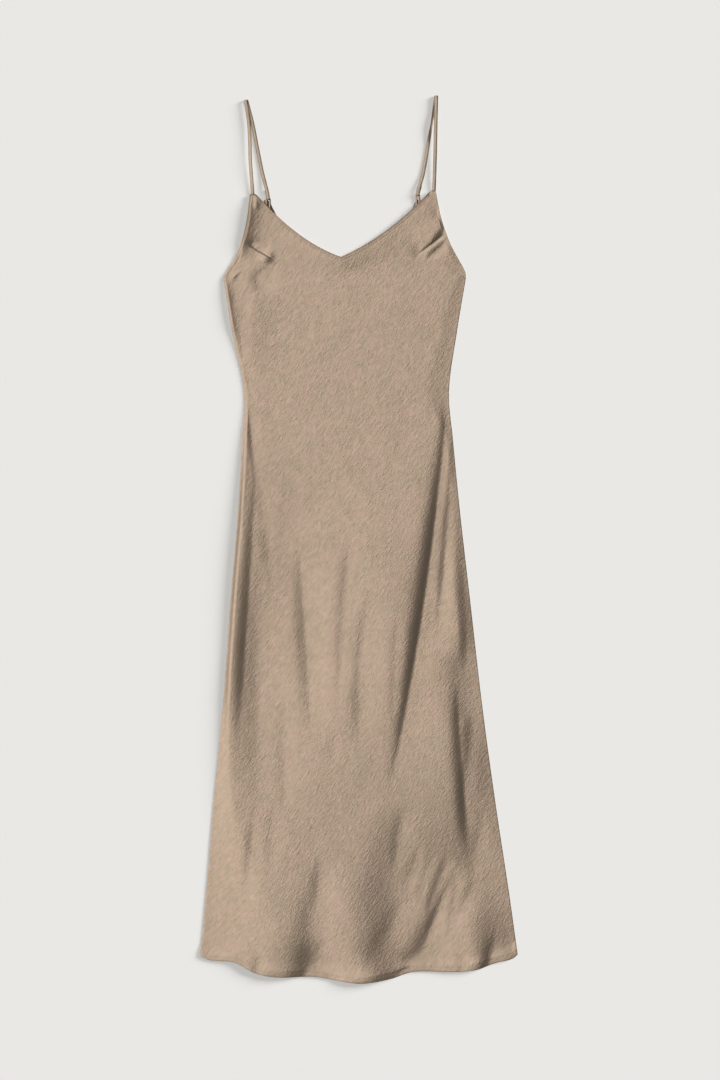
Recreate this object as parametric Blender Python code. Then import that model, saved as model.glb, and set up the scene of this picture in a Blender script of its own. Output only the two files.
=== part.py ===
"""Slip dress laid flat on a surface: two bias-cut panels, bindings, shoulder straps and strap loops.

Metres. +X is the right side of the laid dress as it is looked at, +Y runs from the hem up to the straps
and +Z points up from the surface it lies on. The origin is on that surface, under the middle of the dress.
Tables are in millimetres.
"""

import math
from collections import namedtuple

import bmesh
import bpy
from mathutils import Vector

MM = 0.001
CLOTH = 1.2 * MM  # wall of a panel
BINDING_CLOTH = 1.0 * MM
GAP = 0.3 * MM  # between two pieces that touch
BINDING_WIDTH = 6.0 * MM
BINDING_EASE = 0.15 * MM  # what a binding stands higher, since its facets differ from the panel's

# How far the front panel's underside stands over the surface: on the back panel at the side seams, and
# over the sewn-in strap ends at the tips.
SEAM_REST = CLOTH + GAP
TIP_REST = 4.0 * MM
NECK_CALM = 0.5  # share of the cloth's lift that is gone at the neckline
SETTLE = 0.6  # how softly a trough's bottom comes to rest on the back panel, in millimetres
HEM_REACH = 260.0 * MM  # height over which the hem's waves in the rows die out

FRONT_COLUMNS = 44
FRONT_BODY_ROWS = 46
FRONT_NECK_ROWS = 8
BACK_COLUMNS = 16
BACK_BODY_ROWS = 26
BACK_NECK_ROWS = 7
PROBE = 0.004  # step, as a share of a panel, for measuring how fast it runs

STRAP_WIDTH = 5.4 * MM
STRAP_THICK = 1.3 * MM
STRAP_STEP = 7.0 * MM
FOLD_STEPS = 6
LOOP_ROD = 0.9 * MM  # radius of the rouleau
LOOP_ROUNDING = 2  # Blender's bevel resolution: eight sides
LOOP_TURNS = 10

# Where the two edges of the laid dress are, level by level.
Section = namedtuple("Section", "place level left right")
SIDE_SEAMS = (
    Section("hem", -625.0, -238.0, 238.0),
    Section("shin", -535.0, -229.5, 225.5),
    Section("calf", -391.0, -217.5, 204.0),
    Section("knee", -247.0, -204.0, 184.5),
    Section("thigh", -103.0, -193.5, 168.0),
    Section("hip", 41.0, -181.5, 151.5),
    Section("high hip", 149.0, -175.5, 141.0),
    Section("waist", 221.0, -172.5, 135.0),
    Section("ribs", 311.0, -190.5, 147.0),
    Section("underarm", 392.0, -203.5, 160.5),
)
FRONT_ARMHOLES = (
    Section("underarm", 392.0, -203.5, 160.5),
    Section("turn of underarm", 401.0, -200.0, 160.0),
    Section("side of bust", 419.0, -189.0, 150.5),
    Section("chest", 443.0, -178.5, 137.5),
    Section("dart", 479.0, -169.5, 124.5),
    Section("strap", 521.0, -164.5, 115.5),
)
BACK_ARMHOLES = (
    Section("underarm", 392.0, -203.5, 160.5),
    Section("side of back", 420.0, -178.0, 136.0),
    Section("shoulder blade", 450.0, -159.0, 114.0),
    Section("loop", 510.0, -143.5, 94.0),
)

# A neckline: its lowest point, where its tips begin on each side, how far the tips stand above that point,
# and how straight each side is, from 0, a scoop, to 1, a plain V.
Neckline = namedtuple(
    "Neckline", "low_across low_level left_tip right_tip left_rise right_rise left_straight right_straight"
)
FRONT_NECK = Neckline(-27.0, 424.0, -155.0, 108.5, 94.5, 100.0, 0.46, 0.58)
BACK_NECK = Neckline(-25.0, 380.0, -134.5, 85.0, 130.0, 130.0, 0.0, 0.0)

# The hem sweeps below its corners in waves. "across" is the share of the width, "drop" goes down.
HemPoint = namedtuple("HemPoint", "across drop")
HEM = (
    HemPoint(0.0, 0.5),
    HemPoint(0.03, 6.0),
    HemPoint(0.11, 10.0),
    HemPoint(0.17, 25.0),
    HemPoint(0.24, 31.5),
    HemPoint(0.36, 31.0),
    HemPoint(0.50, 40.8),
    HemPoint(0.60, 34.0),
    HemPoint(0.67, 23.5),
    HemPoint(0.80, 23.5),
    HemPoint(0.87, 20.5),
    HemPoint(0.93, 10.5),
    HemPoint(0.985, 4.0),
    HemPoint(1.0, -2.0),
)

# How high the front panel stands over the back one, and over what width it rolls down to each side seam.
Plump = namedtuple("Plump", "level lift left_roll right_roll")
PLUMP = (
    Plump(-625.0, 4.6, 90.0, 50.0),
    Plump(-560.0, 6.0, 100.0, 80.0),
    Plump(-450.0, 7.2, 50.0, 76.0),
    Plump(-360.0, 7.4, 26.0, 46.0),
    Plump(-240.0, 7.6, 20.0, 29.0),
    Plump(0.0, 7.6, 18.0, 26.0),
    Plump(80.0, 4.4, 16.0, 18.0),
    Plump(150.0, 2.1, 14.0, 14.0),
    Plump(221.0, 1.7, 12.0, 26.0),
    Plump(311.0, 1.7, 12.0, 30.0),
    Plump(392.0, 1.7, 12.0, 16.0),
    Plump(521.0, 1.4, 10.0, 12.0),
)

# Broad swells of the front panel and, where lift is negative, hollows.
Swell = namedtuple("Swell", "place across level reach_across reach_level lift")
SWELLS = (
    Swell("left bust", -150.0, 352.0, 44.0, 66.0, 1.8),
    Swell("right bust", 100.0, 440.0, 40.0, 40.0, 0.9),
    Swell("left hem", -112.0, -575.0, 75.0, 120.0, 2.0),
    Swell("middle hem", -12.0, -590.0, 45.0, 110.0, 2.5),
    Swell("right hem", 172.0, -610.0, 40.0, 60.0, 1.5),
    Swell("right shin", 190.0, -480.0, 110.0, 80.0, -5.6),
)

# Folds of the front panel: troughs, where lift is negative, and crests. A fold runs from one end to the
# other, swerves to the right by "bow" halfway, and has a width to each side.
Fold = namedtuple("Fold", "place low_x low_y high_x high_y bow left_width right_width lift")
FOLDS = (
    Fold("right body fold", 40.0, -400.0, 133.0, 228.0, 11.0, 14.0, 90.0, -6.0),
    Fold("right thigh fold", 168.0, -500.0, 146.0, -205.0, -2.0, 14.0, 80.0, -4.4),
    Fold("left side groove", -181.0, -330.0, -153.0, 160.0, 2.0, 14.0, 110.0, -4.3),
    Fold("left thigh hollow", -146.0, -450.0, -150.0, -60.0, 0.0, 34.0, 90.0, -4.0),
    Fold("left middle fold", -70.0, -310.0, -92.0, 10.0, 3.0, 16.0, 46.0, -3.2),
    Fold("right middle fold", 1.0, -320.0, 19.0, -60.0, -6.0, 15.0, 34.0, -2.2),
    Fold("left hem trough", -88.0, -740.0, -52.0, -500.0, 0.0, 24.0, 50.0, -4.6),
    Fold("middle hem trough", 58.0, -800.0, 56.0, -380.0, 0.0, 36.0, 70.0, -3.6),
    Fold("right hem trough", 44.0, -720.0, 133.0, -500.0, 0.0, 15.0, 76.0, -3.8),
    Fold("right corner trough", 176.0, -704.0, 208.0, -576.0, 0.0, 13.0, 18.0, -3.0),
)

# The straps, from the end sewn in under the front tip, up, over the fold and down to the loop: the middle of
# the strap, and how far it is turned on its edge.
Station = namedtuple("Station", "x y z turn")
LEFT_STRAP_FRONT = (
    Station(-158.5, 506.0, 2.3, 0.0),
    Station(-159.3, 517.0, 2.4, 0.0),
    Station(-161.0, 540.0, 3.6, -38.0),
    Station(-163.0, 569.0, 4.6, -42.0),
    Station(-163.5, 590.0, 5.0, -30.0),
    Station(-165.0, 623.0, 4.6, 0.0),
    Station(-169.6, 657.2, 4.4, 0.0),
)
LEFT_STRAP_BACK = (
    Station(-168.4, 657.2, 0.9, 0.0),
    Station(-159.6, 623.0, 0.9, 0.0),
    Station(-152.6, 587.0, 1.2, 0.0),
    Station(-144.6, 551.0, 1.6, 0.0),
    Station(-139.3, 528.0, 3.4, 0.0),
    Station(-137.3, 510.0, 4.4, 0.0),
)
RIGHT_STRAP_FRONT = (
    Station(112.0, 510.0, 2.3, 0.0),
    Station(112.4, 522.0, 2.4, 0.0),
    Station(113.0, 540.0, 3.6, 0.0),
    Station(114.2, 580.0, 4.8, 0.0),
    Station(115.0, 623.0, 4.6, 0.0),
    Station(116.0, 663.4, 4.4, 0.0),
)
RIGHT_STRAP_BACK = (
    Station(115.4, 663.4, 0.9, 0.0),
    Station(108.9, 623.0, 0.9, 0.0),
    Station(102.8, 587.0, 1.4, 0.0),
    Station(96.6, 551.0, 1.6, 0.0),
    Station(91.8, 532.0, 3.4, 0.0),
    Station(89.2, 516.5, 4.4, 0.0),
)

# The loops: the middle of the foot, the middle of the bow, and half the distance between the legs.
Loop = namedtuple("Loop", "foot_x foot_y bow_x bow_y half_gap")
LEFT_LOOP = Loop(-137.5, 494.0, -137.2, 508.5, 2.6)
RIGHT_LOOP = Loop(89.0, 498.0, 89.0, 515.0, 2.4)
LOOP_LEVEL = CLOTH + GAP + LOOP_ROD

SATIN = (0.43, 0.33, 0.25, 1.0)
BINDING_SATIN = (0.40, 0.31, 0.23, 1.0)
STRAP_SATIN = (0.46, 0.36, 0.28, 1.0)
SATIN_ROUGHNESS = 0.45


def clear_scene():
    for thing in list(bpy.data.objects):
        bpy.data.objects.remove(thing)


def smooth_step(share):
    share = min(max(share, 0.0), 1.0)
    return share * share * (3.0 - 2.0 * share)


def smooth_read(rows, key, value, at):
    """The named value of a table at a place between its rows, on a curve with no corners."""
    keys = [getattr(row, key) for row in rows]
    values = [getattr(row, value) for row in rows]
    last = len(rows) - 1
    at = min(max(at, keys[0]), keys[last])
    low = max(i for i in range(last) if keys[i] <= at or i == 0)
    span = keys[low + 1] - keys[low]

    def slope(i):
        before, after = max(i - 1, 0), min(i + 1, last)
        return (values[after] - values[before]) / (keys[after] - keys[before])

    share = (at - keys[low]) / span
    square, cube = share * share, share * share * share
    return (
        (2 * cube - 3 * square + 1) * values[low]
        + (cube - 2 * square + share) * span * slope(low)
        + (3 * square - 2 * cube) * values[low + 1]
        + (cube - square) * span * slope(low + 1)
    )


class Panel:
    """A laid panel, read by shares: across from left to right, along from the hem to the strap tips."""

    def __init__(self, armholes, neckline, yoke, body_rows, neck_rows):
        self.armholes = armholes
        self.neckline = neckline
        self.yoke = yoke
        self.tip = armholes[-1].level
        self.body_share = body_rows / (body_rows + neck_rows)

    def level(self, along):
        hem = SIDE_SEAMS[0].level
        if along <= self.body_share:
            return hem + (self.yoke - hem) * along / self.body_share
        return self.yoke + (self.tip - self.yoke) * (along - self.body_share) / (1.0 - self.body_share)

    def edges(self, level):
        rows = SIDE_SEAMS if level <= SIDE_SEAMS[-1].level else self.armholes
        return smooth_read(rows, "level", "left", level), smooth_read(rows, "level", "right", level)

    def neck_level(self, x):
        neck = self.neckline
        on_left = x < neck.low_across
        tip = neck.left_tip if on_left else neck.right_tip
        straight = neck.left_straight if on_left else neck.right_straight
        rise = neck.left_rise if on_left else neck.right_rise
        share = min((x - neck.low_across) / (tip - neck.low_across), 1.0)
        return neck.low_level + rise * (straight * share + (1.0 - straight) * share * share)

    def place(self, across, along):
        """(x, y) in millimetres."""
        level = self.level(along)
        left, right = self.edges(level)
        x = left + (right - left) * across
        if level > self.yoke:
            top_left, top_right = self.edges(self.tip)
            top = self.neck_level(top_left + (top_right - top_left) * across)
            share = (level - self.yoke) / (self.tip - self.yoke)
            return x, self.yoke + (top - self.yoke) * share
        fade = 1.0 - smooth_step((level - SIDE_SEAMS[0].level) * MM / HEM_REACH)
        return x, level - smooth_read(HEM, "across", "drop", across) * fade


FRONT = Panel(FRONT_ARMHOLES, FRONT_NECK, SIDE_SEAMS[-1].level, FRONT_BODY_ROWS, FRONT_NECK_ROWS)
BACK = Panel(BACK_ARMHOLES, BACK_NECK, 330.0, BACK_BODY_ROWS, BACK_NECK_ROWS)


def swell_lift(swell, x, y):
    far = ((x - swell.across) / swell.reach_across) ** 2 + ((y - swell.level) / swell.reach_level) ** 2
    return swell.lift * math.exp(-far)


def fold_lift(fold, x, y):
    run_x, run_y = fold.high_x - fold.low_x, fold.high_y - fold.low_y
    length = math.hypot(run_x, run_y)
    share = ((x - fold.low_x) * run_x + (y - fold.low_y) * run_y) / length**2
    if not 0.0 < share < 1.0:
        return 0.0
    bow = fold.bow * 4.0 * share * (1.0 - share)
    offset = ((x - fold.low_x) * run_y - (y - fold.low_y) * run_x) / length - bow
    width = fold.left_width if offset < 0.0 else fold.right_width
    ends = math.sin(math.pi * share) ** 0.8
    return fold.lift * ends * math.exp(-((offset / width) ** 2))


def front_underside(across, along):
    """A point of the front panel's lower face."""
    x, y = FRONT.place(across, along)
    level = FRONT.level(along)
    left, right = FRONT.edges(level)
    from_left, from_right = across * (right - left), (1.0 - across) * (right - left)
    round_down = smooth_step(from_left / smooth_read(PLUMP, "level", "left_roll", level))
    round_down *= smooth_step(from_right / smooth_read(PLUMP, "level", "right_roll", level))
    neck = max(level - FRONT.yoke, 0.0) / (FRONT.tip - FRONT.yoke)
    lift = smooth_read(PLUMP, "level", "lift", level)
    lift += sum(swell_lift(swell, x, y) for swell in SWELLS) + sum(fold_lift(fold, x, y) for fold in FOLDS)
    lift = (lift + math.sqrt(lift * lift + SETTLE * SETTLE)) / 2.0
    calm = 1.0 - NECK_CALM * neck * neck
    rest = SEAM_REST + (TIP_REST - SEAM_REST) * smooth_step(neck)
    return Vector((x * MM, y * MM, rest + lift * MM * round_down * calm))


def back_underside(across, along):
    x, y = BACK.place(across, along)
    return Vector((x * MM, y * MM, 0.0))


def satin(name, colour):
    material = bpy.data.materials.new(name)
    material.use_nodes = True
    shader = material.node_tree.nodes["Principled BSDF"]
    shader.inputs["Base Color"].default_value = colour
    shader.inputs["Roughness"].default_value = SATIN_ROUGHNESS
    shader.inputs["Metallic"].default_value = 0.0
    return material


def add_piece(name, mesh_data, material):
    mesh = bpy.data.meshes.new(name)
    mesh_data.to_mesh(mesh)
    mesh_data.free()
    mesh.materials.append(material)
    mesh.shade_smooth()
    piece = bpy.data.objects.new(name, mesh)
    bpy.context.scene.collection.objects.link(piece)
    return piece


def add_sheet(name, surface, columns, rows, thick, material):
    """A wall of even thickness that stands on a surface given by its two shares."""
    mesh_data = bmesh.new()
    bmesh.ops.create_grid(mesh_data, x_segments=columns, y_segments=rows, size=0.5)
    for vertex in mesh_data.verts:
        vertex.co = surface(vertex.co.x + 0.5, vertex.co.y + 0.5)
    piece = add_piece(name, mesh_data, material)
    wall = piece.modifiers.new("wall", "SOLIDIFY")
    wall.thickness = thick
    wall.offset = 1.0
    return piece


def inset(surface, across, along, inward, run, depth):
    """The point of a surface that lies the given depth inside its edge, square to the edge."""
    edge = surface(across, along)
    inner = surface(across + inward[0] * PROBE, along + inward[1] * PROBE) - edge
    beside = surface(
        min(max(across + run[0] * PROBE, 0.0), 1.0), min(max(along + run[1] * PROBE, 0.0), 1.0)
    )
    before = surface(
        min(max(across - run[0] * PROBE, 0.0), 1.0), min(max(along - run[1] * PROBE, 0.0), 1.0)
    )
    square = inner.cross((beside - before).normalized()).length
    reach = PROBE * depth / square
    return surface(across + inward[0] * reach, along + inward[1] * reach)


def add_binding(name, panel_surface, start, end, inward, pieces, material):
    """A narrow strip that lies on a panel along one of its edges."""
    run = (end[0] - start[0], end[1] - start[1])
    lifted = Vector((0.0, 0.0, CLOTH + GAP + BINDING_EASE))

    def surface(share, depth_share):
        across = start[0] + run[0] * share
        along = start[1] + run[1] * share
        depth = BINDING_WIDTH * (1.0 - depth_share)
        return inset(panel_surface, across, along, inward, run, depth) + lifted

    return add_sheet(name, surface, pieces, 2, BINDING_CLOTH, material)


def catmull(points, step):
    """Stations at even steps on a smooth curve through the given ones."""
    values = [Vector((p.x, p.y, p.z, p.turn)) for p in points]
    values = [values[0] * 2 - values[1], *values, values[-1] * 2 - values[-2]]
    run = []
    for a, b, c, d in zip(values, values[1:], values[2:], values[3:]):
        pieces = max(round((c - b).xyz.length * MM / step), 1)
        for piece in range(pieces):
            t = piece / pieces
            run.append(
                0.5 * (2 * b + (c - a) * t + (2 * a - 5 * b + 4 * c - d) * t**2 + (3 * b - a - 3 * c + d) * t**3)
            )
    return [*run, values[-2]]


def strap_route(front, back):
    """(middle, flat direction, edge direction) all along a strap that folds over at its top."""
    up = catmull(front, STRAP_STEP)
    down = catmull(back, STRAP_STEP)
    top, under = up[-1], down[0]
    radius = (top.z - under.z) / 2
    fold = []
    for step in range(1, FOLD_STEPS):
        angle = math.pi * step / FOLD_STEPS
        share = step / FOLD_STEPS
        middle = top.xyz.lerp(under.xyz, share)
        middle.z = (top.z + under.z) / 2 + radius * math.cos(angle)
        middle.y = (top.y + under.y) / 2 + radius * math.sin(angle)
        fold.append(Vector((*middle, 0.0)))
    middles = [*up, *fold, *down]
    route = []
    for i, here in enumerate(middles):
        ahead = (middles[min(i + 1, len(middles) - 1)] - middles[max(i - 1, 0)]).xyz.normalized()
        flat = Vector((1.0, 0.0, 0.0))
        flat = (flat - ahead * flat.dot(ahead)).normalized()
        edge = ahead.cross(flat)
        turn = math.radians(here[3])
        turned = flat * math.cos(turn) + edge * math.sin(turn)
        route.append((here.xyz * MM, turned, ahead.cross(turned)))
    return route


def add_strap(name, front, back, material):
    """A flat turned tube, swept along its route ring by ring."""
    half, thin = STRAP_WIDTH / 2, STRAP_THICK / 2
    profile = (
        (-half, 0.0), (-half * 0.8, -thin), (half * 0.8, -thin),
        (half, 0.0), (half * 0.8, thin), (-half * 0.8, thin),
    )
    mesh_data = bmesh.new()
    rings = []
    for middle, flat, edge in strap_route(front, back):
        rings.append([mesh_data.verts.new(middle + flat * wide + edge * high) for wide, high in profile])
    sides = len(profile)
    for low, high in zip(rings, rings[1:]):
        for i in range(sides):
            mesh_data.faces.new((low[i], low[(i + 1) % sides], high[(i + 1) % sides], high[i]))
    mesh_data.faces.new(rings[0])
    mesh_data.faces.new(rings[-1])
    bmesh.ops.recalc_face_normals(mesh_data, faces=mesh_data.faces)
    return add_piece(name, mesh_data, material)


def add_loop(name, loop, material):
    """A round rouleau: up one leg, over the bow and down the other leg."""
    points = [(loop.foot_x - loop.half_gap, loop.foot_y)]
    for turn in range(LOOP_TURNS + 1):
        angle = math.pi * (1.0 - turn / LOOP_TURNS)
        points.append(
            (loop.bow_x + loop.half_gap * math.cos(angle), loop.bow_y + loop.half_gap * math.sin(angle))
        )
    points.append((loop.foot_x + loop.half_gap, loop.foot_y))
    curve = bpy.data.curves.new(name, "CURVE")
    curve.dimensions = "3D"
    curve.bevel_depth = LOOP_ROD
    curve.bevel_resolution = LOOP_ROUNDING
    curve.use_fill_caps = True
    spline = curve.splines.new("POLY")
    spline.points.add(len(points) - 1)
    for point, (x, y) in zip(spline.points, points):
        point.co = (x * MM, y * MM, LOOP_LEVEL, 1.0)
    curve.materials.append(material)
    piece = bpy.data.objects.new(name, curve)
    bpy.context.scene.collection.objects.link(piece)
    return piece


def main():
    clear_scene()
    cloth = satin("taupe satin", SATIN)
    binding = satin("bias binding", BINDING_SATIN)
    strap = satin("strap satin", STRAP_SATIN)

    add_sheet("back_panel", back_underside, BACK_COLUMNS, BACK_BODY_ROWS + BACK_NECK_ROWS, CLOTH, cloth)
    add_sheet("front_panel", front_underside, FRONT_COLUMNS, FRONT_BODY_ROWS + FRONT_NECK_ROWS, CLOTH, cloth)

    yoke = FRONT.body_share
    down, right, left = (0.0, -1.0), (1.0, 0.0), (-1.0, 0.0)
    add_binding("front_neck_binding", front_underside, (0.06, 1.0), (0.94, 1.0), down, 32, binding)
    add_binding("back_neck_binding", back_underside, (0.1, 1.0), (0.9, 1.0), down, 24, binding)
    add_binding("armhole_binding_left", front_underside, (0.0, yoke), (0.0, 0.99), right, 12, binding)
    add_binding("armhole_binding_right", front_underside, (1.0, 0.99), (1.0, yoke), left, 12, binding)

    add_strap("strap_left", LEFT_STRAP_FRONT, LEFT_STRAP_BACK, strap)
    add_strap("strap_right", RIGHT_STRAP_FRONT, RIGHT_STRAP_BACK, strap)
    add_loop("strap_loop_left", LEFT_LOOP, strap)
    add_loop("strap_loop_right", RIGHT_LOOP, strap)


main()
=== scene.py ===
"""Looks of a bias-cut satin slip dress that lies flat on a pale surface, front up.

Metres, in the frame's own axes: +X to the right of the laid dress, +Y from the hem up to the straps, +Z up.
Tables are in millimetres. The cloth's surfaces are worked out in millimetres and scaled at the end.
"""

import math
from collections import namedtuple

import bmesh
import bpy
import numpy as np
from mathutils import Matrix, Vector, noise


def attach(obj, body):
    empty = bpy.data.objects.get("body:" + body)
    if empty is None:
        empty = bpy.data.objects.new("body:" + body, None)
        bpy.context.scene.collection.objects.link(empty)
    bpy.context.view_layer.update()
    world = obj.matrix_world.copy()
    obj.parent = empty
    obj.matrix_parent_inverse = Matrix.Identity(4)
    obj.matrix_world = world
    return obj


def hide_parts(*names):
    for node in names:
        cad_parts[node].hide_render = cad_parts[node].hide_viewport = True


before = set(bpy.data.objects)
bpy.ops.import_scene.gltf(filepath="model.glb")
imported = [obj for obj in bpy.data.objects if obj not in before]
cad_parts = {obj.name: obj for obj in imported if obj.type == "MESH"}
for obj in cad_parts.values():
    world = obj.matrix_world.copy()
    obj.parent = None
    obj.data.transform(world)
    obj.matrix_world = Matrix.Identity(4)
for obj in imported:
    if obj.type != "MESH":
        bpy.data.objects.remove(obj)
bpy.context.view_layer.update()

MM = 0.001

# ---------------------------------------------------------------- the cut and the lie of the cloth

CLOTH = 0.6  # wall of a panel
GAP = 0.1  # between pieces that lie on each other
SIDE_CURL = 0.3  # inner radius of the front panel's side edges, which turn down to the back panel
CURL_START = 4.0  # that curl dies out from so far below the underarms
CURL_FADE = 5.0  # over so much height
CURL_LEAST = 0.02  # to this radius along the armholes
HEM_CURL = 0.15  # inner radius of the turned hems
HEM_TURN = 6.0  # width of the turned hems
SEAM_REST = CLOTH + GAP + SIDE_CURL  # underside of the front panel at its side seams
BACK_HEM_ROOM = 0.7  # for the back panel's turned hem
HEM_LIFT = 2 * HEM_CURL + CLOTH + BACK_HEM_ROOM  # how much higher it lies over both turned hems
HEM_LIFT_FADE = 14.0  # height above them over which it comes down again
TIP_REST = 4.0  # its underside at the tips, over the ends of the straps
TIP_SLACK = 0.8  # share of its rise to them by which it may sink again beside them
EDGE_TRIM = 0.9  # room for an edge's own curl or binding inside the outline
ARMHOLE_TRIM = 0.5  # more of it along the armholes
TRIM_FADE = 5.0  # height over which that begins above the underarms

Section = namedtuple("Section", "place level left right")
SIDE_SEAMS = (
    Section("hem", -625.0, -238.0, 238.0),
    Section("shin", -535.0, -229.5, 225.5),
    Section("calf", -391.0, -217.5, 204.0),
    Section("knee", -247.0, -204.0, 184.5),
    Section("thigh", -103.0, -193.5, 168.0),
    Section("hip", 41.0, -181.5, 151.5),
    Section("high hip", 149.0, -175.5, 141.0),
    Section("waist", 221.0, -172.5, 135.0),
    Section("ribs", 311.0, -190.5, 147.0),
    Section("underarm", 392.0, -203.5, 160.5),
)
HEM_LEVEL = SIDE_SEAMS[0].level
UNDERARM_LEVEL = SIDE_SEAMS[-1].level
FRONT_ARMHOLES = (
    Section("underarm", 392.0, -203.5, 160.5),
    Section("turn of underarm", 401.0, -200.0, 160.0),
    Section("side of bust", 419.0, -189.0, 150.5),
    Section("chest", 443.0, -178.5, 137.5),
    Section("dart", 479.0, -169.5, 124.5),
    Section("strap", 521.0, -164.5, 115.5),
)
BACK_ARMHOLES = (
    Section("underarm", 392.0, -203.5, 160.5),
    Section("side of back", 420.0, -178.0, 136.0),
    Section("shoulder blade", 450.0, -159.0, 114.0),
    Section("loop", 510.0, -143.5, 94.0),
)
BACK_YOKE = 330.0  # level over which the back panel's rows bend to its scoop

# How straight a neckline's side is goes from 0, a scoop, to 1, a plain V.
Neckline = namedtuple(
    "Neckline", "low_across low_level left_tip right_tip left_rise right_rise left_straight right_straight"
)
FRONT_NECK = Neckline(-27.0, 424.0, -155.0, 108.5, 94.5, 100.0, 0.46, 0.58)
BACK_NECK = Neckline(-25.0, 380.0, -134.5, 85.0, 130.0, 130.0, 0.0, 0.0)

# How far the hem's edge drops below a level line, by its share across.
HemPoint = namedtuple("HemPoint", "across drop")
HEM = (
    HemPoint(0.0, 0.5),
    HemPoint(0.03, 6.0),
    HemPoint(0.11, 10.0),
    HemPoint(0.17, 25.0),
    HemPoint(0.24, 31.5),
    HemPoint(0.36, 31.0),
    HemPoint(0.50, 40.8),
    HemPoint(0.60, 34.0),
    HemPoint(0.67, 23.5),
    HemPoint(0.80, 23.5),
    HemPoint(0.87, 20.5),
    HemPoint(0.93, 10.5),
    HemPoint(0.985, 4.0),
    HemPoint(1.0, -2.0),
)
HEM_REACH = 260.0  # height over which the hem's waves in the rows die out

# How high the front panel stands over the back one, and over what width it rolls down to each side seam.
Plump = namedtuple("Plump", "level lift left_roll right_roll")
PLUMP = (
    Plump(-625.0, 4.6, 96.0, 50.0),
    Plump(-560.0, 6.6, 112.0, 80.0),
    Plump(-450.0, 7.4, 50.0, 76.0),
    Plump(-360.0, 7.4, 22.0, 48.0),
    Plump(-240.0, 7.6, 9.0, 29.0),
    Plump(-120.0, 7.6, 7.0, 24.0),
    Plump(0.0, 7.6, 6.0, 26.0),
    Plump(80.0, 4.4, 6.0, 16.0),
    Plump(150.0, 2.4, 6.0, 10.0),
    Plump(221.0, 1.3, 4.0, 34.0),
    Plump(311.0, 1.0, 1.8, 30.0),
    Plump(392.0, 0.6, 1.8, 14.0),
    Plump(450.0, 0.2, 3.0, 6.0),
    Plump(521.0, 0.1, 3.0, 5.0),
)
ROLL_POWER = 0.7  # how round a roll is; 0.5 is a quarter of a circle
SEAM_EASE = 0.8  # how flat the cloth leaves a side seam, from 0, a plain roll, to 1
LEAST_LIFT = 0.2  # of a fold's bottom, where it comes to rest
REST_SOFTNESS = 0.45  # height over which it rounds off there
NECK_ROLL = 16.0  # width over which the front panel comes down to its neckline
NECK_REST = 0.5  # share of the lift that is left there
HEM_ROLL = 14.0
HEM_REST = 0.92  # and at the hem

# Soft hollows, where lift is negative, and humps.
Swell = namedtuple("Swell", "place across level reach_across reach_level lift")
SWELLS = (
    Swell("bust", -25.0, 330.0, 110.0, 95.0, 0.2),
    Swell("left bust", -162.0, 352.0, 30.0, 66.0, 1.6),
    Swell("right bust", 118.0, 455.0, 26.0, 25.0, 1.5),
    Swell("left hem hump", -112.0, -575.0, 75.0, 120.0, 2.0),
    Swell("middle hem hump", -12.0, -590.0, 45.0, 110.0, 2.5),
    Swell("right hem hump", 172.0, -610.0, 40.0, 60.0, 1.5),
    Swell("left hem hollow", -60.0, -662.0, 32.0, 20.0, -3.0),
    Swell("middle hem hollow", 74.0, -652.0, 26.0, 24.0, -4.0),
    Swell("middle hem bump", 18.0, -655.0, 26.0, 22.0, 2.2),
    Swell("middle hem tuck", 66.0, -641.0, 22.0, 10.0, 2.2),
    Swell("right shin hollow", 190.0, -480.0, 110.0, 68.0, -5.6),
    Swell("right corner", 236.0, -600.0, 42.0, 62.0, -1.5),
    Swell("right hem hollow", 206.0, -640.0, 16.0, 16.0, -2.5),
    Swell("end of left dart", -138.5, 423.0, 9.0, 8.0, 2.5),
    Swell("start of left dart", -160.0, 443.0, 6.0, 6.0, -0.8),
    Swell("end of right dart", 89.0, 433.0, 8.0, 10.0, -0.9),
    Swell("under left dart", -143.0, 389.0, 14.0, 13.0, -3.4),
    Swell("right of chest", 117.0, 490.0, 7.0, 8.0, -0.6),
    Swell("right underarm", 150.0, 402.0, 8.0, 6.0, -0.8),
)

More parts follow.
